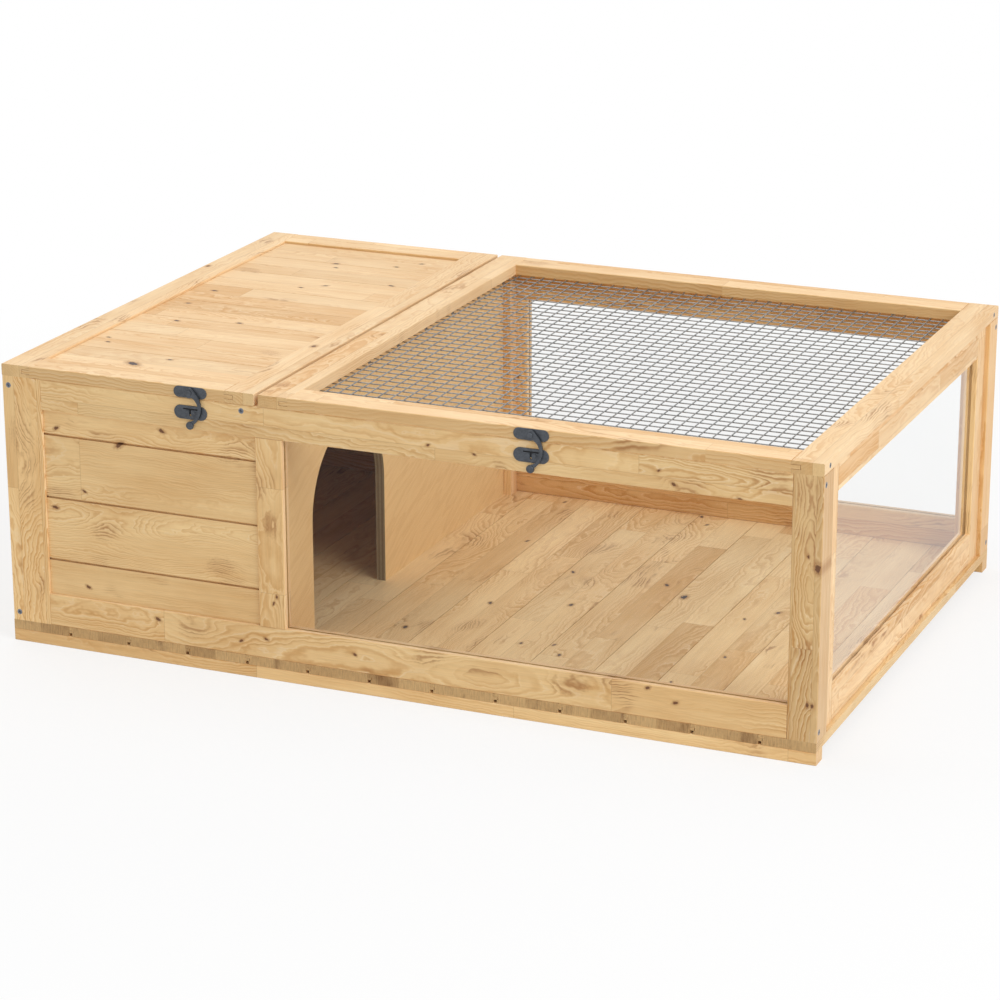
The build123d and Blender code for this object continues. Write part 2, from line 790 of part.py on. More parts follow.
def latch(latch_x, name):
    """A swing-hook latch: plate, rivet and hook on the lid, and keeper on the wall below it."""
    pivot_height = wall_top + lid_thickness / 2
    face = Plane(origin=(latch_x, front, pivot_height), x_dir=(1, 0, 0), z_dir=(0, -1, 0))
    hook_back = latch_plate_thickness + hook_gap
    hook_front = hook_back + hook_thickness

    with BuildPart() as plate:
        with BuildSketch(face):
            SlotOverall(latch_plate_length, latch_plate_height)
        extrude(amount=latch_plate_thickness)
        chamfer(plate.faces().sort_by(Axis.Y)[0].edges(), metal_edge)
    save(plate, f"{name}_latch_plate")

    with BuildPart() as rivet:
        with BuildSketch(face.offset(latch_plate_thickness)):
            Circle(rivet_shoulder_radius)
        extrude(amount=hook_gap - rivet_end_gap)
        with BuildSketch(face.offset(latch_plate_thickness)):
            Circle(rivet_radius)
        extrude(amount=hook_front + rivet_end_gap - latch_plate_thickness)
        with BuildSketch(face.offset(hook_front + rivet_end_gap)):
            Circle(rivet_head_radius)
        extrude(amount=rivet_head_height)
        chamfer(rivet.faces().sort_by(Axis.Y)[0].edges(), metal_edge)
    save(rivet, f"{name}_latch_rivet")

    half_width = hook_arm_width / 2
    arm_middle = -hook_knob_drop / 2
    with BuildPart() as hook:
        with BuildSketch(face.offset(hook_back)):
            with BuildLine():
                outer_start = (half_width, hook_lobe_radius - half_width / 2)
                outer_end = (hook_knob_radius, half_width - hook_knob_drop)
                inner_start = (half_width, half_width - hook_lobe_radius)
                inner_end = (0, hook_knob_radius - hook_knob_drop)
                ThreePointArc(outer_start, (hook_reach, arm_middle + half_width), outer_end)
                Line(outer_end, inner_end)
                ThreePointArc(inner_end, (hook_reach - hook_arm_width, arm_middle), inner_start)
                Line(inner_start, outer_start)
            make_face()
            Circle(hook_lobe_radius)
            with Locations((0, -hook_knob_drop)):
                Circle(hook_knob_radius)
            Circle(rivet_radius + pin_clearance, mode=Mode.SUBTRACT)
        extrude(amount=hook_thickness)
        with BuildSketch(face.offset(hook_back)):
            with Locations((0, -hook_knob_drop)):
                Circle(hook_knob_radius - metal_edge)
        extrude(amount=hook_thickness + knob_height)
        chamfer(hook.faces().sort_by(Axis.Y)[0].edges(), metal_edge)
    save(hook, f"{name}_latch_hook")

    keeper_face = Plane(
        origin=(latch_x, front, pivot_height - keeper_drop), x_dir=(1, 0, 0), z_dir=(0, -1, 0)
    )
    with BuildPart() as keeper:
        with BuildSketch(keeper_face):
            SlotOverall(latch_plate_length, keeper_height)
        extrude(amount=latch_plate_thickness)
        chamfer(keeper.faces().sort_by(Axis.Y)[0].edges(), metal_edge)
        with BuildSketch(keeper_face.offset(latch_plate_thickness)):
            SlotOverall(keeper_lip_length, keeper_lip_height)
        extrude(amount=keeper_lip_thickness)
        with BuildSketch(keeper_face):
            with Locations((0, keeper_slot_rise)):
                SlotOverall(keeper_slot_length, keeper_slot_width)
                Rectangle(keeper_stem_width, keeper_stem_length, align=(Align.CENTER, Align.MAX))
        extrude(amount=latch_plate_thickness + keeper_lip_thickness, mode=Mode.SUBTRACT)
    save(keeper, f"{name}_latch_keeper")


latch(left + left_latch_from_left, "left")
latch(right_lid_middle, "right")

# Screws, in groups by the body that they belong to
frame_screws = []
for side, face, inward in wall_sides:
    frame_screws += screws(corner_sites[side], *corner_screw)
    frame_screws += screws(post_sites[side], *post_screw)
    frame_screws += screws(cleat_sites[side], *cleat_screw)
save_group(frame_screws, "frame_screws")
save_group(screws(lid_screw_sites["left"], *lid_screw), "left_lid_screws")
save_group(screws(lid_screw_sites["right"], *lid_screw), "right_lid_screws")
save_group(screws(hinge_sites(all_hinges, -1), *hinge_screw), "house_hinge_screws")
save_group(screws(hinge_sites(left_hinges, 1), *hinge_screw), "left_lid_hinge_screws")
save_group(screws(hinge_sites(right_hinges, 1), *hinge_screw), "right_lid_hinge_screws")
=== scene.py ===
import random
from math import cos, pi, radians, sin

import bmesh
import bpy
from mathutils import Matrix, Vector


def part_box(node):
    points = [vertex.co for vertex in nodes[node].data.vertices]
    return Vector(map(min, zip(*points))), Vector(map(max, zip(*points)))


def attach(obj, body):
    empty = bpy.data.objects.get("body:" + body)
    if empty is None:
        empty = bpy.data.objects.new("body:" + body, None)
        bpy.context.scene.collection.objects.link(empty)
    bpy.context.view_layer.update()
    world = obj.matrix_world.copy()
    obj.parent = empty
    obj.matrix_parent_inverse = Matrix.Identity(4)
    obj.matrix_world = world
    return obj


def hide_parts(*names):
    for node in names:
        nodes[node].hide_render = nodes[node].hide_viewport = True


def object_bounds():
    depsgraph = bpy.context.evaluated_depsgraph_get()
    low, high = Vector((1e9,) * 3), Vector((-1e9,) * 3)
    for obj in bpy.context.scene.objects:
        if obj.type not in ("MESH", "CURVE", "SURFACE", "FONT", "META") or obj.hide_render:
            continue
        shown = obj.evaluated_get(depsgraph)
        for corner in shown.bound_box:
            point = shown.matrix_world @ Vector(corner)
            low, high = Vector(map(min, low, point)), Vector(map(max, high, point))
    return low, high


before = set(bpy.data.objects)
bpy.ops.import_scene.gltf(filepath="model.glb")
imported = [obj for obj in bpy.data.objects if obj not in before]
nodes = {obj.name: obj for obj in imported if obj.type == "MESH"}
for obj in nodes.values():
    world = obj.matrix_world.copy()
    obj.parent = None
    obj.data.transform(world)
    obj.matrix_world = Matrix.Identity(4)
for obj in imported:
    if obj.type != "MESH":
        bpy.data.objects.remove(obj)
cad_low, cad_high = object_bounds()
MM = 0.001
X, Y, Z = 0, 1, 2

# Camera of the photograph
camera_place = (1.3763, -3.2605, 1.2931)
camera_turn = (71.711, 0.12, 23.121)
camera_lens = 118.54
camera_sensor = 36.0

# Softwood tones as sRGB: pale for the bright faces of the lids and the right side; gold is painted shade, a
# darker copy of the same wood for the faces of the front and back
pale_light = (250, 220, 176)
pale_dark = (217, 164, 102)
shaded_gold_light = (247, 213, 156)
shaded_gold_dark = (206, 152, 86)
floor_light = (247, 218, 168)
floor_dark = (211, 165, 106)
ply_light = (241, 206, 150)
ply_dark = (214, 170, 108)
brown_knot = (104, 66, 42)
dark_knot = (44, 48, 58)
knot_ring = (158, 104, 58)
mark_brown = (158, 102, 54)
cream = (255, 236, 204)
seam_brown = (150, 104, 58)
end_light = (214, 177, 122)
end_dark = (112, 76, 42)
flaw_brown = (170, 118, 70)
# Divider's cut edges: the ply stripes are the sheet's own, and their dark grey cast is painted shade
ply_edge_shaded_light = (168, 150, 118)
ply_edge_shaded_dark = (138, 118, 88)
ply_edge_shaded_grain = (100, 84, 62)

# How the softwood grows: its rings, the place of its pith, its small knots, and its glue lines
ring_spacing = 1.9 * MM
ring_spacing_spread = 1.9 * MM
bend_width = 34 * MM
ripple_width = 9.5 * MM
lean_sideways = 0.10
lean_down = 0.16
pith_side_spread = 50 * MM
pith_depth = 12 * MM
pith_depth_spread = 34 * MM
knot_push = 1.6
small_knot_radius = 0.8 * MM
small_knot_spread = 1.9 * MM
small_knot_squeeze = 0.35
seam_start = 0.1 * MM
seam_end = 0.6 * MM

# Divider sheet
ply_thickness = 2.2 * MM
half_sheet = 5.5 * MM

# Clear sheet: how its mirroring is strengthened at a glancing angle and taken off face on
mirror_gain = 1.3
mirror_loss = 0.035


def linear(rgb):
    """A colour socket's value for an sRGB colour of 0 to 255."""
    channels = [c / 255 for c in rgb]
    return [((c + 0.055) / 1.055) ** 2.4 if c > 0.04045 else c / 12.92 for c in channels] + [1.0]


class Graph:
    """Adds nodes to a node tree; an input may be another node's socket or a plain value."""

    def __init__(self, tree):
        self.tree = tree

    def feed(self, socket, value):
        if isinstance(value, bpy.types.NodeSocket):
            self.tree.links.new(value, socket)
        elif value is not None:
            socket.default_value = value

    def add(self, kind, inputs=(), **settings):
        node = self.tree.nodes.new(kind)
        for key, value in settings.items():
            setattr(node, key, value)
        pairs = inputs.items() if isinstance(inputs, dict) else enumerate(inputs)
        for key, value in pairs:
            self.feed(node.inputs[key], value)
        return node

    def math(self, operation, *values, clamp=False):
        return self.add("ShaderNodeMath", values, operation=operation, use_clamp=clamp).outputs[0]

    def spread(self, value, width):
        """A number of 0 to 1 moved to lie on both sides of zero, over a width."""
        return self.math("MULTIPLY", self.math("SUBTRACT", value, 0.5), width)

    def distance(self, first, second):
        """The length of a line from its two legs."""
        squares = [self.math("MULTIPLY", leg, leg) for leg in (first, second)]
        return self.math("SQRT", self.math("ADD", *squares))

    def bell(self, ratio, narrowness):
        """One at the middle, and fading smoothly outwards."""
        scaled = self.math("MULTIPLY", ratio, narrowness)
        return self.math("EXPONENT", self.math("MULTIPLY", self.math("MULTIPLY", scaled, scaled), -1.0))

    def vector(self, operation, *values):
        node = self.add("ShaderNodeVectorMath", operation=operation)
        for socket, value in zip(node.inputs, values):
            self.feed(socket, value)
        return node

    def combine(self, x, y, z):
        return self.add("ShaderNodeCombineXYZ", (x, y, z)).outputs[0]

    def split(self, vector):
        return self.add("ShaderNodeSeparateXYZ", (vector,)).outputs

    def noise(self, vector, scale, detail=2.0, roughness=0.5):
        inputs = {"Vector": vector, "Scale": scale, "Detail": detail, "Roughness": roughness}
        return self.add("ShaderNodeTexNoise", inputs).outputs[0]

    def random(self, x, y, z):
        """Three random numbers for a cell, as the channels of a colour."""
        cell = self.add("ShaderNodeTexWhiteNoise", {"Vector": self.combine(x, y, z)})
        return self.add("ShaderNodeSeparateColor", (cell.outputs["Color"],)).outputs

    def ramp(self, value, low, high, start=0.0, end=1.0, smooth=True):
        kind = "SMOOTHSTEP" if smooth else "LINEAR"
        node = self.add("ShaderNodeMapRange", interpolation_type=kind)
        for socket, number in zip(node.inputs, (value, low, high, start, end)):
            self.feed(socket, number)
        return node.outputs[0]

    def mix(self, factor, first, second, blend="MIX"):
        node = self.add("ShaderNodeMix", data_type="RGBA", blend_type=blend)
        for name, value in (("Factor_Float", factor), ("A_Color", first), ("B_Color", second)):
            socket = next(s for s in node.inputs if s.identifier == name)
            self.feed(socket, value)
        return next(s for s in node.outputs if s.identifier == "Result_Color")


def group(name, inputs, outputs):
    """An empty node group with its sockets."""
    tree = bpy.data.node_groups.new(name, "ShaderNodeTree")
    for label, kind in inputs:
        tree.interface.new_socket(label, in_out="INPUT", socket_type=kind)
    for label, kind in outputs:
        tree.interface.new_socket(label, in_out="OUTPUT", socket_type=kind)
    graph = Graph(tree)
    return graph, graph.add("NodeGroupInput").outputs, graph.add("NodeGroupOutput").inputs


FLOAT, COLOR, VECTOR = "NodeSocketFloat", "NodeSocketColor", "NodeSocketVector"


def knot_group():
    """One knot at a chosen place: how far it pushes the grain aside, its dark core and its brown ring."""
    inputs = [("Along", FLOAT), ("Across", FLOAT), ("X", FLOAT), ("Y", FLOAT), ("Radius", FLOAT)]
    outputs = [("Push", FLOAT), ("Core", FLOAT), ("Ring", FLOAT)]
    g, given, out = group("knot", inputs, outputs)
    radius = given["Radius"]
    dx = g.math("MULTIPLY", g.math("SUBTRACT", given["Along"], given["X"]), 0.6)
    dy = g.math("SUBTRACT", given["Across"], given["Y"])
    # Each knot leans its own way, by a wave of its place
    slant = g.math("MULTIPLY", g.math("SINE", g.math("MULTIPLY", given["X"], 900.0)), 0.6)
    dy = g.math("ADD", dy, g.math("MULTIPLY", dx, slant))
    place = g.combine(given["Along"], given["Across"], given["X"])
    ratio = g.math("DIVIDE", g.distance(dx, dy), radius)
    ragged = g.math("ADD", ratio, g.spread(g.noise(place, 380.0), 1.5))
    g.feed(out["Push"], g.math("MULTIPLY", g.bell(ratio, 0.24), g.math("MULTIPLY", radius, knot_push)))
    g.feed(out["Core"], g.ramp(ragged, 0.75, 1.1, 1.0, 0.0))
    g.feed(out["Ring"], g.ramp(ragged, 0.8, 2.4, 1.0, 0.0))
    return g.tree


def pine_group():
    """Softwood: growth rings cut by the board's faces, glued up from strips and blocks."""
    inputs = [
        ("Position", VECTOR),
        ("Normal", VECTOR),
        ("Seed", FLOAT),
        ("Strip", FLOAT),
        ("Offset", FLOAT),
        ("Block", FLOAT),
        ("Variation", FLOAT),
        ("Figure", FLOAT),
        ("Knots", FLOAT),
        ("Push", FLOAT),
        ("Core", FLOAT),
        ("Ring", FLOAT),
        ("Mark", FLOAT),
        ("End shade", FLOAT),
        ("Light", COLOR),
        ("Dark", COLOR),
        ("Knot", COLOR),
    ]
    outputs = [("Color", COLOR), ("Roughness", FLOAT), ("Height", FLOAT)]
    g, given, out = group("pine", inputs, outputs)
    along, across, depth = g.split(given["Position"])
    seed = given["Seed"]

    # Strips lie side by side, and each is finger-jointed from blocks end to end
    row = g.math("DIVIDE", g.math("SUBTRACT", across, given["Offset"]), given["Strip"])
    strip = g.math("FLOOR", row)
    shift = g.random(strip, seed, 0.5)[0]
    column = g.math("ADD", g.math("DIVIDE", along, given["Block"]), g.math("MULTIPLY", shift, 7.0))
    block = g.math("FLOOR", column)
    tone, tilt_a, tilt_b = g.random(strip, block, seed)
    pith_a, pith_b, vigour = g.random(strip, block, g.math("ADD", seed, 11.3))
    in_row = g.math("SUBTRACT", g.math("FRACT", row), 0.5)
    in_block = g.spread(g.math("FRACT", column), given["Block"])

    # Distance from the pith, which leans along the block, bends a little and flows round knots
    scatter = g.math("ADD", g.math("MULTIPLY", tone, 9.0), g.math("MULTIPLY", strip, 1.7))
    stretched = g.combine(g.math("MULTIPLY", along, 0.2), across, g.math("ADD", depth, scatter))
    bend = g.spread(g.noise(stretched, 16.0, 2.0), bend_width)
    wavy = g.combine(g.math("MULTIPLY", along, 0.55), across, scatter)
    ripple = g.spread(g.noise(wavy, 52.0, 3.0, 0.55), ripple_width)
    side = g.math("ADD", g.math("MULTIPLY", in_row, given["Strip"]), g.spread(pith_a, pith_side_spread))
    side = g.math("ADD", side, g.math("MULTIPLY", in_block, g.spread(tilt_a, lean_sideways)))
    below = g.math("ADD", depth, g.math("ADD", pith_depth, g.math("MULTIPLY", pith_b, pith_depth_spread)))
    below = g.math("ADD", below, g.math("MULTIPLY", in_block, g.spread(tilt_b, lean_down)))
    below = g.math("ADD", below, bend)
    from_pith = g.math("ADD", g.math("ADD", g.distance(side, below), ripple), given["Push"])

    # Small knots scattered through the wood, found in a space that is squeezed along the grain
    squeezed = g.combine(g.math("MULTIPLY", along, small_knot_squeeze), across, g.math("MULTIPLY", seed, 3.1))
    voronoi = g.add("ShaderNodeTexVoronoi", {"Vector": squeezed, "Scale": 21.0, "Randomness": 0.9})
    chance, size, _ = g.add("ShaderNodeSeparateColor", (voronoi.outputs["Color"],)).outputs
    found = g.split(voronoi.outputs["Position"])
    # The point found is in the squeezed space, so it is stretched back
    found_along = g.math("DIVIDE", found[0], small_knot_squeeze)
    dx = g.math("MULTIPLY", g.math("SUBTRACT", along, found_along), 0.72)
    dy = g.math("SUBTRACT", across, found[1])
    here = g.math("LESS_THAN", chance, given["Knots"])
    knot_radius = g.math("ADD", g.math("MULTIPLY", size, small_knot_spread), small_knot_radius)
    knot_radius = g.math("MULTIPLY", knot_radius, here)
    knot_ratio = g.math("DIVIDE", g.distance(dx, dy), g.math("ADD", knot_radius, 0.01 * MM))
    knot_ratio = g.math("ADD", knot_ratio, g.math("MULTIPLY", g.noise(squeezed, 300.0), 0.5))
    push = g.math("MULTIPLY", g.bell(knot_ratio, 0.25), g.math("MULTIPLY", knot_radius, knot_push))
    from_pith = g.math("ADD", from_pith, push)
    core = g.math("MAXIMUM", given["Core"], g.ramp(knot_ratio, 0.9, 1.4, 1.0, 0.0))
    halo = g.math("MAXIMUM", given["Ring"], g.ramp(knot_ratio, 1.0, 3.0, 0.8, 0.0))

    # Rings: pale early wood that darkens into a fine late-wood line, clearer in some places
    spacing = g.math("ADD", ring_spacing, g.math("MULTIPLY", vigour, ring_spacing_spread))
    phase = g.math("DIVIDE", from_pith, spacing)
    drift = g.noise(g.combine(g.math("MULTIPLY", phase, 0.33), tone, seed), 2.0, 1.0)
    turn = g.math("FRACT", g.math("ADD", phase, g.math("MULTIPLY", drift, 1.6)))
    late = g.math("MULTIPLY", g.ramp(turn, 0.36, 0.8), g.ramp(turn, 0.8, 1.0, 1.0, 0.0))
    fade = g.ramp(g.noise(stretched, 22.0, 2.0), 0.34, 0.66, 0.12, 1.0)
    figure = g.math("MULTIPLY", g.math("MULTIPLY", late, fade), given["Figure"])

    # Streaks and fibres
    streak_place = g.combine(g.math("MULTIPLY", along, 0.045), across, g.math("ADD", depth, scatter))
    streak = g.noise(streak_place, 130.0, 3.0, 0.6)
    fibre = g.noise(streak_place, 900.0, 2.0, 0.6)
    cloud = g.noise(g.combine(g.math("MULTIPLY", along, 0.45), across, scatter), 17.0, 3.0)
    warmth = g.math("ADD", g.spread(streak, 0.5), figure)
    warmth = g.math("ADD", warmth, g.spread(cloud, 0.9))
    strip_warmth = g.math("MULTIPLY", g.math("POWER", tone, 2.2), given["Variation"])
    warmth = g.math("ADD", g.math("ADD", warmth, 0.22), strip_warmth, clamp=True)
    color = g.mix(warmth, given["Light"], given["Dark"])

    # Brown marks follow the rings where the wood grew crooked
    widened = g.math("MULTIPLY", across, 1.3)
    crooked = g.combine(g.math("MULTIPLY", along, 0.6), widened, g.math("ADD", scatter, 40.0))
    mark = g.ramp(g.noise(crooked, 15.0, 3.0, 0.62), 0.59, 0.72)
    mark = g.math("MULTIPLY", mark, g.math("ADD", given["Figure"], 0.3), clamp=True)
    mark = g.math("MAXIMUM", mark, given["Mark"])
    mark_line = g.math("ADD", g.math("MULTIPLY", late, 0.8), g.math("MULTIPLY", streak, 0.35))
    color = g.mix(g.math("MULTIPLY", mark, mark_line, clamp=True), color, linear(mark_brown))
    clearness = g.math("MULTIPLY", fade, given["Figure"])
    pale_line = g.math("MULTIPLY", g.ramp(turn, 0.04, 0.2, 1.0, 0.0), clearness)
    color = g.mix(g.math("MULTIPLY", pale_line, 0.5, clamp=True), color, linear(cream))

    # Each block has its own lightness, and fibres vary it finely
    shade = g.spread(tilt_a, g.math("MULTIPLY", given["Variation"], 0.2))
    shade = g.math("ADD", shade, g.spread(fibre, 0.24))
    shade = g.math("ADD", shade, 1.0)
    color = g.mix(1.0, color, g.combine(shade, shade, shade), "MULTIPLY")

    # Glue lines between strips and butted blocks
    strip_edge = g.math("MULTIPLY", g.math("SUBTRACT", 0.5, g.math("ABSOLUTE", in_row)), given["Strip"])
    block_edge = g.math("SUBTRACT", g.math("MULTIPLY", given["Block"], 0.5), g.math("ABSOLUTE", in_block))
    seam = g.ramp(g.math("MINIMUM", strip_edge, block_edge), seam_start, seam_end, 0.26, 0.0)
    color = g.mix(seam, color, linear(seam_brown))

    # Knots over everything
    color = g.mix(g.math("MULTIPLY", halo, 0.62), color, linear(knot_ring))
    color = g.mix(g.math("MULTIPLY", core, 0.9), color, given["Knot"])

    # End grain is darker and browner, with pores that run up and down
    facing = g.math("ABSOLUTE", g.split(given["Normal"])[0])
    end = g.ramp(facing, 0.6, 0.8)
    pores = g.noise(g.combine(0.0, across, g.math("MULTIPLY", depth, 0.12)), 700.0, 3.0, 0.7)
    stain = g.noise(g.combine(0.0, across, g.math("MULTIPLY", depth, 0.5)), 24.0, 3.0, 0.6)
    end_tone = g.math("ADD", g.ramp(pores, 0.3, 0.8, 0.0, 0.5), g.ramp(stain, 0.54, 0.70, 0.0, 0.6))
    end_tone = g.math("ADD", end_tone, g.math("MULTIPLY", tone, 0.3), clamp=True)
    end_color = g.mix(end_tone, linear(end_light), linear(end_dark))
    color = g.mix(g.math("MULTIPLY", end, given["End shade"]), color, end_color)

    height = g.math("ADD", g.math("MULTIPLY", fibre, 0.5), g.math("MULTIPLY", late, 0.35))
    height = g.math("SUBTRACT", height, g.math("MULTIPLY", core, 1.2))
    height = g.math("SUBTRACT", height, g.math("MULTIPLY", seam, 1.5))
    rough = g.math("SUBTRACT", 0.62, g.math("MULTIPLY", late, 0.12))
    rough = g.math("ADD", rough, g.spread(streak, 0.2))
    g.feed(out["Color"], color)
    g.feed(out["Roughness"], rough)
    g.feed(out["Height"], height)
    return g.tree


knot_tree = knot_group()
pine_tree = pine_group()


def material(name):
    """A new material's graph and its Principled shader."""
    made = bpy.data.materials.new(name)
    made.use_nodes = True
    graph = Graph(made.node_tree)
    return made, graph, made.node_tree.nodes["Principled BSDF"]


def set_material(piece, made):
    """Gives a piece one material on all its faces."""
    if not piece.material_slots:
        piece.data.materials.append(made)
    for slot in piece.material_slots:
        slot.material = made


def shaded(rgb, shade):
    """A colour socket's value for an sRGB colour made darker or lighter."""
    return [channel * shade for channel in linear(rgb)[:3]] + [1.0]


def turned(g, vector, order):
    """The vector with its axes reordered."""
    parts = g.split(vector)
    return g.combine(*(parts[axis] for axis in order))


def timber(node, tones, order=None, strip=60.0, offset=0.0, block=400.0, variation=0.35, figure=0.38,
           scattered=0.06, knots=(), swirls=(), seed=None, knot_color=brown_knot, end_shade=0.25, shade=1.0):
    """Softwood on a CAD node. Sizes are in millimetres; order lists the grain, width and depth axes."""
    low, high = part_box(node)
    size = high - low
    centre = (low + high) / 2
    if order is None:
        order = sorted(range(3), key=lambda axis: -size[axis])
    made, g, shader = material(node + "_wood")
    place = g.add("ShaderNodeTexCoord").outputs
    local = g.vector("SUBTRACT", place["Object"], tuple(centre)).outputs[0]
    local = turned(g, local, order)
    along, across, _ = g.split(local)
    push, core, ring, mark = 0.0, 0.0, 0.0, 0.0
    marks = [(*knot, False) for knot in knots] + [(*swirl, True) for swirl in swirls]
    for x, y, radius, is_swirl in marks:
        inputs = {
            "Along": along,
            "Across": across,
            "X": x * MM - centre[order[0]],
            "Y": y * MM - centre[order[1]],
            "Radius": radius * MM,
        }
        knot = g.add("ShaderNodeGroup", node_tree=knot_tree)
        for label, value in inputs.items():
            g.feed(knot.inputs[label], value)
        push = g.math("ADD", push, knot.outputs["Push"])
        if is_swirl:
            mark = g.math("MAXIMUM", mark, g.math("MULTIPLY", knot.outputs["Ring"], 0.6))
            continue
        core = g.math("MAXIMUM", core, knot.outputs["Core"])
        ring = g.math("MAXIMUM", ring, knot.outputs["Ring"])
    # Painted shade: faces towards the front and back get a deeper gold than the rest, a shaded copy of the
    # same wood
    front_shade_share = g.ramp(g.math("ABSOLUTE", g.split(place["Normal"])[1]), 0.4, 0.8)
    wood = g.add("ShaderNodeGroup", node_tree=pine_tree)
    if seed is None:
        seed = sum(ord(letter) * (number + 1) for number, letter in enumerate(node)) % 97
    inputs = {
        "Position": local,
        "Normal": turned(g, place["Normal"], order),
        "Seed": float(seed),
        "Strip": strip * MM,
        "Offset": offset * MM - centre[order[1]],
        "Block": block * MM,
        "Variation": variation,
        "Figure": figure,
        "Knots": scattered,
        "Push": push,
        "Core": core,
        "Ring": ring,
        "Mark": mark,
        "End shade": end_shade,
        "Light": g.mix(front_shade_share, shaded(tones[0], shade), shaded(shaded_gold_light, shade)),
        "Dark": g.mix(front_shade_share, shaded(tones[1], shade), shaded(shaded_gold_dark, shade)),
        "Knot": linear(knot_color),
    }
    for label, value in inputs.items():
        g.feed(wood.inputs[label], value)
    bump = g.add("ShaderNodeBump", {"Strength": 0.22, "Distance": 0.0004, "Height": wood.outputs["Height"]})
    g.feed(shader.inputs["Base Color"], wood.outputs["Color"])
    g.feed(shader.inputs["Roughness"], wood.outputs["Roughness"])
    g.feed(shader.inputs["Normal"], bump.outputs[0])
    shader.inputs["Specular IOR Level"].default_value = 0.35
    set_material(nodes[node], made)


PALE = (pale_light, pale_dark)
FLOOR = (floor_light, floor_dark)

# Front wall, with the knots and the swirls that the photograph shows
front_plank_knots = [
    (-402, 252, 1.7), (-272, 264, 1.9), (-325, 242, 2.6), (-370, 184, 1.4), (-407, 161, 1.9), (-370, 74, 1.6),
]
timber("front_planks", PALE, (X, Z, Y), strip=71.5, offset=99.8, block=620, scattered=0.03,
       knots=front_plank_knots, swirls=[(-185, 252, 7.0), (-205, 120, 6.0), (-345, 142, 6.0)])
timber("back_planks", PALE, (X, Z, Y), strip=71.5, offset=99.8, block=620)
timber("left_planks", PALE, (Y, Z, X), strip=71.5, offset=99.8, block=620)
timber("front_left_stile", PALE, (Z, X, Y), strip=28, offset=-451, block=700, figure=0.7, seed=7,
       scattered=0.0, shade=1.06, swirls=[(238, -443, 8.0), (172, -440, 6.0), (205, -436, 5.0)])
timber("front_middle_stile", PALE, (Z, X, Y), strip=62, offset=-175, block=118,
       knots=[(96, -138, 1.2), (88, -142, 1.2)], swirls=[(218, -155, 5.0), (176, -143, 5.0)])
top_rail_knots = [(92, 283, 1.1), (293, 291, 1.1), (309, 278, 1.6), (379, 271, 1.6), (40, 287, 1.2)]
timber("front_top_rail", PALE, (X, Z, Y), strip=20, offset=284.6, block=420, variation=0.45, figure=0.55,
       scattered=0.03, shade=0.96, knots=top_rail_knots,
       swirls=[(326, 276, 6.0), (414, 294, 9.0), (121, 274, 3.0)])
bottom_rail_knots = [
    (-283, 50, 1.7), (-182, 40, 1.3), (-152, 46, 1.4), (-47, 44, 1.3), (284, 57, 1.5), (314, 45, 1.6),
]
timber("front_bottom_rail", PALE, (X, Z, Y), strip=72, offset=0, block=520, figure=0.55, scattered=0.03,
       knots=bottom_rail_knots, swirls=[(-240, 46, 6.0), (40, 55, 6.0), (200, 48, 7.0)])
timber("front_right_post", PALE, (Z, X, Y), strip=22, offset=436, block=700, variation=0.45, figure=0.6,
       scattered=0.0, knots=[(210, 461, 3.0), (221, 451, 1.2), (64, 454, 1.6), (64, 459, 1.4)],
       swirls=[(284, 450, 8.0), (120, 449, 5.0)], shade=0.86)
for name in ("back_left_stile", "back_middle_stile", "back_right_post"):
    timber(name, PALE, (Z, X, Y), strip=28, block=260)
for name in ("back_top_rail", "back_bottom_rail"):
    timber(name, PALE, (X, Z, Y), strip=20, offset=284.6, block=380, variation=0.45, figure=0.6)
for side in ("left", "right"):
    for name in (f"{side}_front_stile", f"{side}_back_stile"):
        timber(name, PALE, (Z, Y, X), strip=24, block=300)
    for name in (f"{side}_top_rail", f"{side}_bottom_rail"):
        timber(name, PALE, (Y, Z, X), strip=19, offset=30, block=230, variation=0.5, figure=0.6)
timber("front_skid", PALE, (X, Z, Y), strip=40, offset=-12, block=300, variation=0.2, shade=1.05)
timber("back_skid", PALE, (X, Z, Y), strip=40, offset=-12, block=360)
timber("front_divider_cleat", PALE, (Z, X, Y), strip=60, block=500)
timber("back_divider_cleat", PALE, (Z, Y, X), strip=60, block=500)

# Floor: long blocks side by side, listed along the boards first
floor_knots = [
    (28, 195, 3.4), (58, 163, 2.2), (-45, 87, 2.2), (-74, 1, 2.0), (-181, -55, 2.4), (-178, 82, 1.6),
    (-169, 117, 1.6), (-195, 134, 1.8), (-132, 300, 1.4), (-223, 272, 1.4), (-13, 281, 1.4), (303, 117, 1.8),
    (277, 133, 1.6), (20, 309, 2.2), (139, -43, 1.6), (58, 48, 1.8), (292, -57, 1.4),
]
floor_swirls = [
    (60, -114, 8.0), (120, -104, 9.0), (-148, 8, 7.0), (31, 80, 6.0), (215, 112, 9.0), (145, 47, 8.0),
]
timber("floor_boards", FLOOR, (Y, X, Z), strip=36.3, offset=-395.5, block=330, variation=0.5, figure=0.45,
       scattered=0.0, knots=floor_knots, swirls=floor_swirls, knot_color=dark_knot, end_shade=0.85)

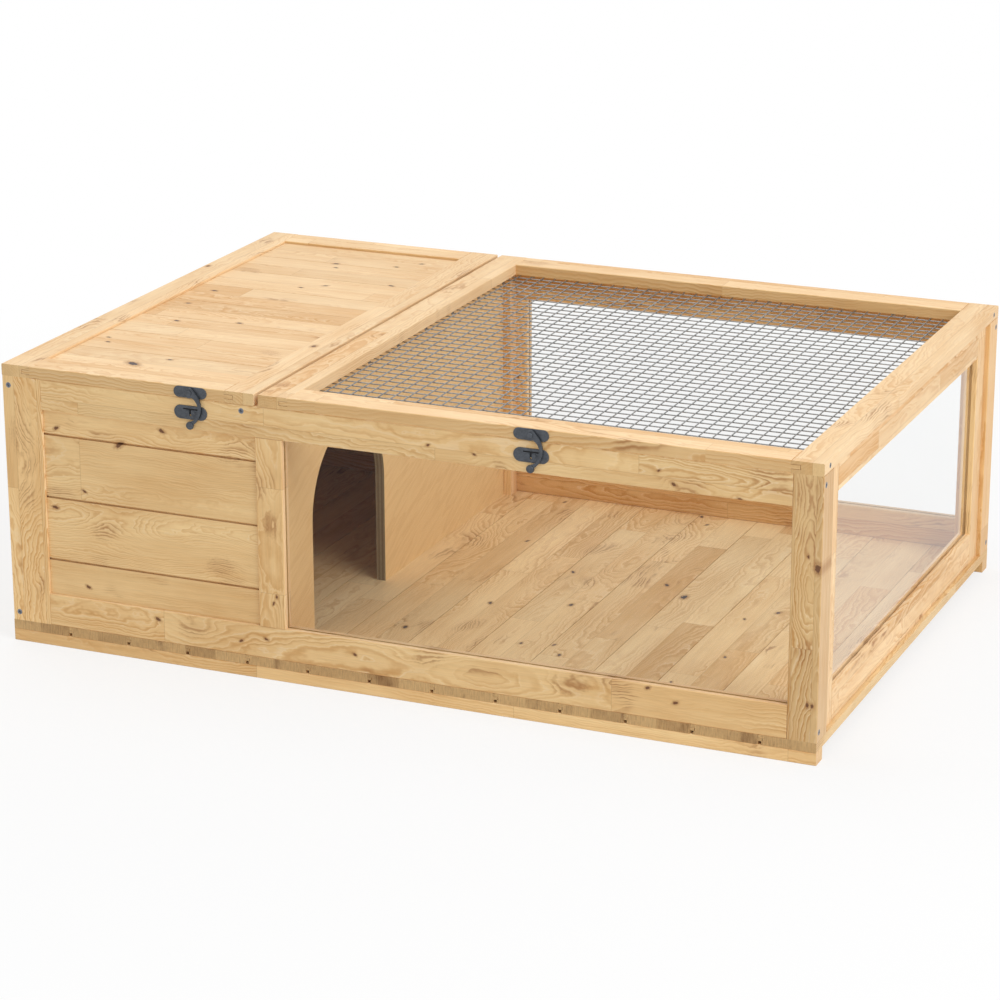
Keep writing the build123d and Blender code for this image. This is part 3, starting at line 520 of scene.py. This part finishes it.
# Lids
lid_knots = [
    (-403, 49, 2.0), (-404, -13, 1.6), (-309, -69, 1.9), (-379, -87, 1.8), (-416, -178, 1.5),
    (-407, -195, 1.5), (-309, -233, 1.8), (-338, -262, 4.2), (-221, 149, 1.8), (-293, 119, 1.8),
    (-316, 101, 1.5), (-327, 219, 2.0), (-319, 202, 1.5), (-253, 233, 1.6), (-231, 258, 1.6),
]
timber("left_lid_planks", PALE, (X, Y, Z), strip=36.56, offset=-292.5, block=900, variation=0.4, figure=0.4,
       scattered=0.0, knots=lid_knots, swirls=[(-221, -166, 5.0), (-408, 150, 6.0)], knot_color=dark_knot)
stile_marks = {
    "left_lid_left_stile": [(-111, -438, 6.0), (280, -452, 5.0)],
    "right_lid_left_stile": [(-65, -138, 3.0)],
    "right_lid_right_stile": [(-64, 449, 4.0), (-190, 440, 5.0)],
}
for name in ("left_lid_left_stile", "left_lid_right_stile", "right_lid_left_stile", "right_lid_right_stile"):
    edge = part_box(name)[0].x / MM
    timber(name, PALE, (Y, X, Z), strip=22, offset=edge, block=520, scattered=0.05,
           swirls=stile_marks.get(name, []))
for name in ("left_lid_front_rail", "left_lid_back_rail", "right_lid_front_rail", "right_lid_back_rail"):
    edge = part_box(name)[0].y / MM
    timber(name, PALE, (X, Y, Z), strip=24, offset=edge, block=430, figure=0.45, shade=1.04)


def plywood():
    """The divider: a pale sheet with a faint wide figure, and its plies showing on the cut edges, whose dark
    grey cast is painted shade.
    """
    low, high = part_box("divider")
    made, g, shader = material("divider_plywood")
    place = g.add("ShaderNodeTexCoord").outputs
    local = g.vector("SUBTRACT", place["Object"], tuple((low + high) / 2)).outputs[0]
    x, y, z = g.split(local)
    slant = g.math("ADD", g.math("MULTIPLY", y, 0.9), g.math("MULTIPLY", z, 0.42))
    climb = g.math("SUBTRACT", g.math("MULTIPLY", z, 0.9), g.math("MULTIPLY", y, 0.42))
    face_place = g.combine(g.math("MULTIPLY", slant, 0.10), climb, 0.0)
    wave = g.noise(face_place, 34.0, 3.0)
    rings = g.ramp(g.math("FRACT", g.math("MULTIPLY", wave, 9.0)), 0.3, 1.0)
    fleck = g.noise(g.combine(g.math("MULTIPLY", slant, 0.12), climb, 1.0), 420.0, 2.0)
    warmth = g.math("ADD", g.math("MULTIPLY", rings, 0.22), g.math("MULTIPLY", fleck, 0.35), clamp=True)
    face = g.mix(warmth, linear(ply_light), linear(ply_dark))
    flaw = g.ramp(g.noise(g.combine(g.math("MULTIPLY", slant, 0.3), climb, 4.0), 60.0, 2.0), 0.70, 0.78)
    face = g.mix(g.math("MULTIPLY", flaw, 0.35), face, linear(flaw_brown))
    ply = g.math("FLOOR", g.math("DIVIDE", g.math("ADD", x, half_sheet), ply_thickness))
    even = g.math("MODULO", ply, 2.0)
    grain = g.noise(g.combine(ply, y, z), 300.0, 3.0)
    # Ply stripes on the edges, in tones darkened and greyed as painted shade
    edge = g.mix(even, linear(ply_edge_shaded_light), linear(ply_edge_shaded_dark))
    edge = g.mix(g.math("MULTIPLY", grain, 0.5), edge, linear(ply_edge_shaded_grain))
    facing = g.math("ABSOLUTE", g.split(place["Normal"])[0])
    color = g.mix(g.ramp(facing, 0.4, 0.6), edge, face)
    bump = g.add("ShaderNodeBump", {"Strength": 0.15, "Distance": 0.0003, "Height": fleck})
    g.feed(shader.inputs["Base Color"], color)
    g.feed(shader.inputs["Normal"], bump.outputs[0])
    shader.inputs["Roughness"].default_value = 0.62
    set_material(nodes["divider"], made)


plywood()


def acrylic():
    """Clear sheet: light passes, and faces at a glancing angle mirror the surroundings."""
    made, g, shader = material("clear_acrylic_sheet")
    tree = made.node_tree
    tree.nodes.remove(shader)
    smear = g.noise(g.add("ShaderNodeTexCoord").outputs["Object"], 9.0, 3.0)
    clear = g.add("ShaderNodeBsdfTransparent", {"Color": (0.985, 0.988, 0.988, 1.0)}).outputs[0]
    gloss = g.add("ShaderNodeBsdfGlossy", {"Color": (1.0, 1.0, 1.0, 1.0)})
    g.feed(gloss.inputs["Roughness"], g.ramp(smear, 0.3, 0.7, 0.03, 0.09))
    # A straight ray would mirror wholly inside the sheet, so only outer faces reflect, for both
    fresnel = g.add("ShaderNodeFresnel", {"IOR": 1.49}).outputs[0]
    outside = g.math("SUBTRACT", 1.0, g.add("ShaderNodeNewGeometry").outputs["Backfacing"])
    mirrored = g.math("SUBTRACT", g.math("MULTIPLY", fresnel, mirror_gain), mirror_loss)
    share = g.math("MULTIPLY", mirrored, outside, clamp=True)
    mixed = g.add("ShaderNodeMixShader", (share, clear, gloss.outputs[0]))
    g.feed(tree.nodes["Material Output"].inputs["Surface"], mixed.outputs[0])
    return made


sheet = acrylic()
for name in ("front_window", "back_window", "right_window"):
    set_material(nodes[name], sheet)


def metal(name, rgb, metallic, roughness, grain, wear=0.0):
    """Metal with a mottled sheen; wear lightens it in patches."""
    made, g, shader = material(name)
    place = g.add("ShaderNodeTexCoord").outputs["Object"]
    mottle = g.noise(place, grain, 3.0, 0.6)
    cloud = g.noise(place, grain / 6, 2.0)
    base = linear(rgb)
    bright = [min(1.0, channel * (1.35 + wear)) for channel in base[:3]] + [1.0]
    dull = [channel * 0.72 for channel in base[:3]] + [1.0]
    blend = g.math("ADD", g.math("MULTIPLY", mottle, 0.6), g.math("MULTIPLY", cloud, 0.4))
    g.feed(shader.inputs["Base Color"], g.mix(g.ramp(blend, 0.3, 0.7), dull, bright))
    g.feed(shader.inputs["Roughness"], g.ramp(mottle, 0.2, 0.8, roughness - 0.08, roughness + 0.10))
    bump = g.add("ShaderNodeBump", {"Strength": 0.12, "Distance": 0.0001, "Height": mottle})
    g.feed(shader.inputs["Normal"], bump.outputs[0])
    shader.inputs["Metallic"].default_value = metallic
    return made


latch_metal = metal("latch_metal", (72, 76, 82), 0.35, 0.42, 900.0, 0.2)
zinc = metal("zinc_metal", (176, 178, 180), 1.0, 0.34, 700.0)
screw_metal = metal("screw_metal", (128, 132, 140), 0.9, 0.36, 1200.0)
wire_metal = metal("wire_metal", (148, 149, 149), 0.75, 0.42, 500.0)
for side in ("left", "right"):
    for part in ("plate", "rivet", "hook", "keeper"):
        set_material(nodes[f"{side}_latch_{part}"], latch_metal)
for name in ("house_hinge_leaves", "left_lid_hinge_leaves", "right_lid_hinge_leaves", "hinge_pins"):
    set_material(nodes[name], zinc)
set_material(nodes["mesh_staples"], wire_metal)


def solids_of(node):
    """The corners of each separate solid of a CAD node, found by walking its faces."""
    mesh = nodes[node].data
    merged = {}
    parent = []
    index = []
    for vertex in mesh.vertices:
        key = tuple(round(c, 6) for c in vertex.co)
        if key not in merged:
            merged[key] = len(parent)
            parent.append(merged[key])
        index.append(merged[key])

    def root(number):
        while parent[number] != number:
            parent[number] = parent[parent[number]]
            number = parent[number]
        return number

    for face in mesh.polygons:
        first = root(index[face.vertices[0]])
        for vertex in face.vertices:
            parent[root(index[vertex])] = first
    found = {}
    for key, number in merged.items():
        found.setdefault(root(number), []).append(key)
    corners = []
    for points in found.values():
        low = Vector(min(p[axis] for p in points) for axis in range(3))
        high = Vector(max(p[axis] for p in points) for axis in range(3))
        corners.append((low, high))
    return sorted(corners, key=lambda pair: tuple(pair[0]))


def piece_from(mesh_data, name, made, body, smooth=True):
    """Turns a bmesh into a piece that rides on a body."""
    mesh = bpy.data.meshes.new(name)
    bmesh.ops.recalc_face_normals(mesh_data, faces=mesh_data.faces)
    mesh_data.to_mesh(mesh)
    mesh_data.free()
    piece = bpy.data.objects.new(name, mesh)
    bpy.context.scene.collection.objects.link(piece)
    piece.data.materials.append(made)
    for face in mesh.polygons:
        face.use_smooth = smooth
    if smooth:
        mesh.set_sharp_from_angle(angle=radians(35))
    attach(piece, body)
    return piece


# Crosshead screws: a flat head with a cross recess, in place of each plain CAD screw
recess_reach = 0.62
recess_half_width = 0.15
recess_depth = 0.42
recess_foot = 0.72
head_sides = 24
rim_share, rim_drop = 0.94, 0.07
neck_share, neck_drop = 0.52, 0.5
tip_share = 0.5
head_gain = 1.02
shank_share = 0.98


def cross_outline(radius):
    """The corners of a cross recess, anticlockwise."""
    reach = radius * recess_reach
    half = radius * recess_half_width
    quarter = [(reach, -half), (reach, half), (half, half)]
    corners = []
    for turn in range(4):
        c, s = cos(turn * pi / 2), sin(turn * pi / 2)
        corners += [(x * c - y * s, x * s + y * c) for x, y in quarter]
    return corners


def add_screw(mesh_data, head, outward, radius, length, turn):
    """One screw: its head's face lies at head and looks along outward."""
    matrix = Matrix.Translation(head) @ outward.to_track_quat("Z", "Y").to_matrix().to_4x4()
    matrix = matrix @ Matrix.Rotation(turn, 4, "Z")

    def ring(points, height):
        return [mesh_data.verts.new(matrix @ Vector((x, y, height))) for x, y in points]

    def circle(size):
        angles = [2 * pi * step / head_sides for step in range(head_sides)]
        return [(size * cos(angle), size * sin(angle)) for angle in angles]

    rim = ring(circle(radius * rim_share), 0.0)
    shoulder = ring(circle(radius), -radius * rim_drop)
    neck = ring(circle(radius * neck_share), -radius * neck_drop)
    levels = [rim, shoulder, neck, ring(circle(radius * tip_share), -length)]
    for upper, lower in zip(levels, levels[1:]):
        for step in range(head_sides):
            after = (step + 1) % head_sides
            mesh_data.faces.new((upper[step], upper[after], lower[after], lower[step]))
    mesh_data.faces.new(levels[-1])
    mouth = ring(cross_outline(radius), 0.0)
    shrunk = [(x * recess_foot, y * recess_foot) for x, y in cross_outline(radius)]
    foot = ring(shrunk, -radius * recess_depth)
    count = len(mouth)
    for step in range(count):
        after = (step + 1) % count
        mesh_data.faces.new((mouth[step], mouth[after], foot[after], foot[step]))
    mesh_data.faces.new(foot)
    edges = []
    for loop in (rim, mouth):
        for step, vertex in enumerate(loop):
            following = loop[(step + 1) % len(loop)]
            edges.append(mesh_data.edges.get((vertex, following)) or mesh_data.edges.new((vertex, following)))
    bmesh.ops.triangle_fill(mesh_data, edges=edges, use_beauty=True, use_dissolve=False)


def screws(node, body):
    """Replaces a node of plain screws. Each head is at the end that faces out of the house or its lid."""
    centre = (cad_low + cad_high) / 2
    chance = random.Random(node)
    mesh_data = bmesh.new()
    if node in ("left_lid_screws", "right_lid_screws"):
        lid_low, lid_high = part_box(node)
        centre.x = (lid_low.x + lid_high.x) / 2
    for low, high in solids_of(node):
        size = high - low
        axis = max(range(3), key=lambda number: size[number])
        side = 1 if (low + high)[axis] / 2 > centre[axis] else -1
        outward = Vector((0, 0, 0))
        outward[axis] = side
        head = (low + high) / 2
        head[axis] = high[axis] if side > 0 else low[axis]
        radius = min(size) / 2 * head_gain
        add_screw(mesh_data, head, outward, radius, size[axis] * shank_share, chance.uniform(0, pi))
    piece = piece_from(mesh_data, node + "_crosshead", screw_metal, body)
    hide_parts(node)


screws("frame_screws", "house")
screws("house_hinge_screws", "house")
for side in ("left", "right"):
    screws(f"{side}_lid_screws", f"{side}_lid")
    screws(f"{side}_lid_hinge_screws", f"{side}_lid")


def wire_mesh():
    """Round wires with a slight wander in place of the CAD's straight ones, welded where they cross."""
    chance = random.Random(4)
    mesh_data = bmesh.new()
    sides = 10
    for low, high in solids_of("right_lid_mesh"):
        size = high - low
        axis = X if size.x > size.y else Y
        radius = size.z / 2
        middle = (low + high) / 2
        steps = 42
        phase = chance.uniform(0, 2 * pi)
        waves = chance.uniform(1.0, 2.4)
        sway = chance.uniform(0.1, 0.35) * MM
        loops = []
        for step in range(steps + 1):
            share = step / steps
            offset = sway * sin(phase + waves * 2 * pi * share)
            point = middle.copy()
            point[axis] = low[axis] + size[axis] * share
            point[1 - axis] += offset
            loop = []
            for number in range(sides):
                angle = 2 * pi * number / sides
                corner = point.copy()
                corner[1 - axis] += radius * cos(angle)
                corner.z += radius * sin(angle)
                loop.append(mesh_data.verts.new(corner))
            loops.append(loop)
        for before, after in zip(loops, loops[1:]):
            for number in range(sides):
                following = (number + 1) % sides
                mesh_data.faces.new((before[number], before[following], after[following], after[number]))
        mesh_data.faces.new(loops[0])
        mesh_data.faces.new(loops[-1])
    piece = piece_from(mesh_data, "wire_mesh", wire_metal, "right_lid")
    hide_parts("right_lid_mesh")


wire_mesh()

# A near-black sheet behind each keeper's slot, as painted shadow in the slot: a T whose bar and stem are
# measured from the slot's top
half_bar, half_stem = 8.6 * MM, 1.05 * MM
top, bar_foot, stem_foot = 0.0, -1.5 * MM, -6.6 * MM
slot_rise = 4.7 * MM
shadow_sheet_front, shadow_sheet_back = 0.35 * MM, 0.02 * MM
left_latch_x, right_latch_x = -234.5 * MM, 155.1 * MM
# Near-black colour: the sheet is painted shadow
slot_shadow_black = metal("keeper_slot_painted_shadow", (16, 16, 18), 0.0, 0.7, 900.0)


def keeper_slot_shadow(side, middle):
    """A near-black sheet behind a keeper's T-shaped slot: painted shadow in the slot."""
    low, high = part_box(f"{side}_latch_keeper")
    slot_top = (low.z + high.z) / 2 + slot_rise
    outline = [
        (-half_bar, top), (half_bar, top), (half_bar, bar_foot), (half_stem, bar_foot),
        (half_stem, stem_foot), (-half_stem, stem_foot), (-half_stem, bar_foot), (-half_bar, bar_foot),
    ]
    mesh_data = bmesh.new()
    near = [mesh_data.verts.new((middle + x, high.y - shadow_sheet_front, slot_top + z)) for x, z in outline]
    far = [mesh_data.verts.new((middle + x, high.y - shadow_sheet_back, slot_top + z)) for x, z in outline]
    mesh_data.faces.new(near)
    mesh_data.faces.new(far)
    for step in range(len(outline)):
        after = (step + 1) % len(outline)
        mesh_data.faces.new((near[step], near[after], far[after], far[step]))
    piece_from(mesh_data, f"{side}_keeper_slot_shadow", slot_shadow_black, "house", smooth=False)


keeper_slot_shadow("left", left_latch_x)
keeper_slot_shadow("right", right_latch_x)

# Stage: a pale floor that runs to the horizon, and white all round for what the camera and gloss see
floor_reach = 40.0
paper_grey = (0.9, 0.9, 0.9, 1.0)
white = (1.0, 1.0, 1.0, 1.0)
glow_start, glow_end = 0.55, 1.5
least_glow = 0.72
ambient = 0.55


def seen_directly(g):
    """One for rays from the camera, and for those that gloss or a clear sheet sends on."""
    rays = g.add("ShaderNodeLightPath").outputs
    seen = g.math("MAXIMUM", rays["Is Camera Ray"], rays["Is Glossy Ray"])
    return g.math("MAXIMUM", seen, rays["Is Transmission Ray"])


stage_mesh = bpy.data.meshes.new("ground")
quarters = [(-1, -1), (1, -1), (1, 1), (-1, 1)]
stage_mesh.from_pydata([(x * floor_reach, y * floor_reach, 0) for x, y in quarters], [], [(0, 1, 2, 3)])
ground = bpy.data.objects.new("ground", stage_mesh)
bpy.context.scene.collection.objects.link(ground)
paper, g, shader = material("paper_floor")
shader.inputs["Base Color"].default_value = paper_grey
shader.inputs["Roughness"].default_value = 0.9
shader.inputs["Specular IOR Level"].default_value = 0.0
glow = g.add("ShaderNodeEmission", {"Color": white, "Strength": 1.0})
from_centre = g.vector("LENGTH", g.add("ShaderNodeTexCoord").outputs["Object"]).outputs["Value"]
share = g.math("MULTIPLY", seen_directly(g), g.ramp(from_centre, glow_start, glow_end, least_glow, 1.0))
mixed = g.add("ShaderNodeMixShader", (share, shader.outputs[0], glow.outputs[0]))
g.feed(paper.node_tree.nodes["Material Output"].inputs["Surface"], mixed.outputs[0])
ground.data.materials.append(paper)

world = bpy.data.worlds.new("studio")
bpy.context.scene.world = world
world.use_nodes = True
g = Graph(world.node_tree)
background = world.node_tree.nodes["Background"]
background.inputs["Color"].default_value = white
g.feed(background.inputs["Strength"], g.ramp(seen_directly(g), 0.0, 1.0, ambient, 1.0, smooth=False))


lamp_target = (0.0, 0.0, 0.2)
lamp_size = 2.4


def softbox(name, place, power):
    """A square area lamp that looks at the house."""
    lamp = bpy.data.lights.new(name, "AREA")
    lamp.size = lamp_size
    lamp.energy = power
    light = bpy.data.objects.new(name, lamp)
    bpy.context.scene.collection.objects.link(light)
    light.location = place
    light.rotation_euler = (Vector(lamp_target) - Vector(place)).to_track_quat("-Z", "Y").to_euler()


softbox("key", place=(2.9, -1.3, 2.7), power=76.0)
softbox("top", place=(-1.0, 0.3, 2.9), power=24.0)

camera_data = bpy.data.cameras.new("camera")
camera_data.lens = camera_lens
camera_data.sensor_width = camera_sensor
camera = bpy.data.objects.new("camera", camera_data)
bpy.context.scene.collection.objects.link(camera)
camera.location = camera_place
camera.rotation_euler = [radians(angle) for angle in camera_turn]
bpy.context.scene.camera = camera
bpy.context.scene.view_settings.view_transform = "Standard"
